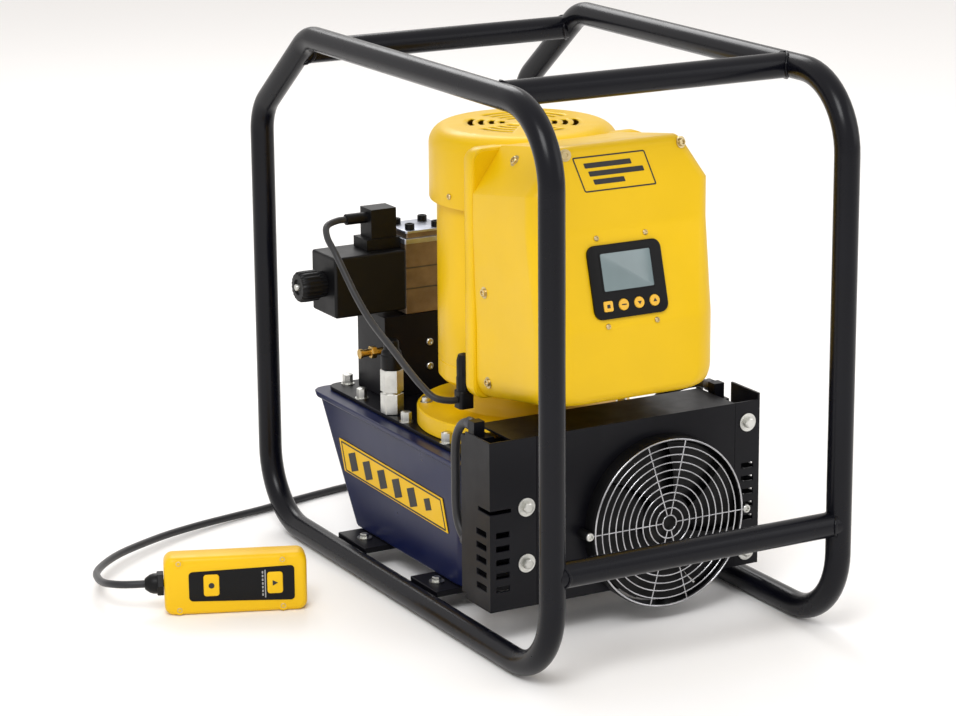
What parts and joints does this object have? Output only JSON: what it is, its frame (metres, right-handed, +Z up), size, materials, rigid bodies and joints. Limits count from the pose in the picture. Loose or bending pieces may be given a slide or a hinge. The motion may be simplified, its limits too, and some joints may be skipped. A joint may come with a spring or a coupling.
{
  "type": "hydraulic power unit",
  "caption": "Electric hydraulic power unit: vertical motor and control box on an oil tank, with valve stack and fan oil cooler in a bent tube roll cage, and a corded hand pendant.",
  "frame": {"origin": "on the floor under the middle of the roll cage", "axes": "+Z up, -Y towards the cooler fan and display, +X to the right seen from that side, +Y along the cage"},
  "size_m": [0.7616, 0.7067, 0.5754],
  "materials": {
    "black_tube": "satin powder coat",
    "black_sheet": "satin powder coat",
    "black_plastic": "matte",
    "navy_paint": "satin",
    "yellow_paint": "semi-gloss",
    "yellow_plastic": "semi-gloss",
    "amber_key": "semi-gloss",
    "screen_glass": "smooth",
    "chrome_wire": "bright",
    "zinc_steel": "zinc plated",
    "brass": "turned",
    "dark_steel": "machined, oiled",
    "cord_rubber": "matte",
    "valve_metal": "machined",
    "circuit_green": "lacquered"
  },
  "bodies": {
    "unit": {"left_side_hoop": "black_tube", "right_side_hoop": "black_tube", "top_front_cross_tube": "black_tube", "top_rear_cross_tube": "black_tube", "lower_front_cross_tube": "black_tube", "front_base_bar": "black_sheet", "rear_base_bar": "black_sheet", "reservoir_tank": "navy_paint", "tank_cover_plate": "black_sheet", "drain_plug": "zinc_steel", "tank_label_plate": "yellow_plastic", "pump_block": "dark_steel", "pump_adapter_disc": "yellow_paint", "motor_housing": "yellow_paint", "motor_stator": "dark_steel", "motor_fan_cover": "yellow_paint", "enclosure_rear_shell": "yellow_paint", "enclosure_front_cover": "yellow_paint", "control_board": "circuit_green", "display_bezel": "black_plastic", "lcd_screen": "screen_glass", "pendant_cord_gland": "black_plastic", "mains_cord_gland": "black_plastic", "valve_manifold": "black_sheet", "directional_valve_body": "valve_metal", "solenoid_housing": "black_plastic", "solenoid_connector": "black_plastic", "solenoid_lead": "cord_rubber", "lead_gland": "black_plastic", "hex_adapter": "zinc_steel", "pressure_transducer": "black_plastic", "cooler_left_bracket": "black_sheet", "cooler_right_bracket": "black_sheet", "cooler_front_panel": "black_sheet", "heat_exchanger_core": "black_sheet", "fan_shroud": "black_plastic", "fan_motor": "black_plastic", "fan_guard": "chrome_wire", "cooler_supply_hose": "cord_rubber", "cooler_return_hose": "cord_rubber", "pendant_rear_case": "yellow_plastic", "pendant_front_case": "yellow_plastic", "pendant_keypad": "black_plastic", "pendant_gland": "black_plastic", "pendant_cord_from_box": "cord_rubber", "pendant_cord_coil": "cord_rubber", "pendant_cord_to_pendant": "cord_rubber"},
    "motor_rotor": {"motor_rotor_shaft": "dark_steel", "motor_cooling_fan": "black_plastic"},
    "cooler_fan": {"fan_blades": "black_plastic"},
    "key_1": {"display_key_1": "amber_key"},
    "key_2": {"display_key_2": "amber_key"},
    "key_3": {"display_key_3": "amber_key"},
    "key_4": {"display_key_4": "amber_key"},
    "stop_button": {"pendant_stop_button": "yellow_plastic"},
    "advance_button": {"pendant_advance_button": "yellow_plastic"},
    "override_pin": {"manual_override_pin": "zinc_steel"},
    "end_knob": {"solenoid_end_knob": "black_plastic"},
    "relief_adjuster": {"relief_valve_adjuster": "brass"},
    "filler_cap": {"filler_breather_cap": "black_plastic"}
  },
  "joints": [
    {"name": "motor_shaft_spin", "type": "hinge", "parent": "unit", "child": "motor_rotor", "pos_m": [0, 0.028, 0.3], "axis": [0, 0, 1], "continuous": true},
    {"name": "cooler_fan_spin", "type": "hinge", "parent": "unit", "child": "cooler_fan", "pos_m": [0.044, -0.181, 0.104], "axis": [0, -1, 0], "continuous": true},
    {"name": "display_key_1_press", "type": "slide", "parent": "unit", "child": "key_1", "axis": [0, 0.9624, -0.2717], "range_m": [0, 0.001], "stiffness_N_per_m": 300},
    {"name": "display_key_2_press", "type": "slide", "parent": "unit", "child": "key_2", "axis": [0, 0.9624, -0.2717], "range_m": [0, 0.001], "stiffness_N_per_m": 300},
    {"name": "display_key_3_press", "type": "slide", "parent": "unit", "child": "key_3", "axis": [0, 0.9624, -0.2717], "range_m": [0, 0.001], "stiffness_N_per_m": 300},
    {"name": "display_key_4_press", "type": "slide", "parent": "unit", "child": "key_4", "axis": [0, 0.9624, -0.2717], "range_m": [0, 0.001], "stiffness_N_per_m": 300},
    {"name": "stop_button_press", "type": "slide", "parent": "unit", "child": "stop_button", "axis": [0.3714, 0.9285, 0], "range_m": [0, 0.001], "stiffness_N_per_m": 600},
    {"name": "advance_button_press", "type": "slide", "parent": "unit", "child": "advance_button", "axis": [0.3714, 0.9285, 0], "range_m": [0, 0.001], "stiffness_N_per_m": 600},
    {"name": "override_pin_press", "type": "slide", "parent": "unit", "child": "override_pin", "axis": [1, 0, 0], "range_m": [0, 0.003], "stiffness_N_per_m": 500},
    {"name": "end_knob_turn", "type": "hinge", "parent": "unit", "child": "end_knob", "pos_m": [-0.161, 0.197, 0.295], "axis": [1, 0, 0], "range_deg": [-180, 180]},
    {"name": "relief_adjuster_turn", "type": "hinge", "parent": "unit", "child": "relief_adjuster", "pos_m": [-0.1, 0.18, 0.217], "axis": [1, 0, 0], "range_deg": [-180, 180]},
    {"name": "filler_cap_turn", "type": "hinge", "parent": "unit", "child": "filler_cap", "pos_m": [0.085, 0.215, 0.18], "axis": [0, 0, 1], "range_deg": [0, 180]}
  ]
}
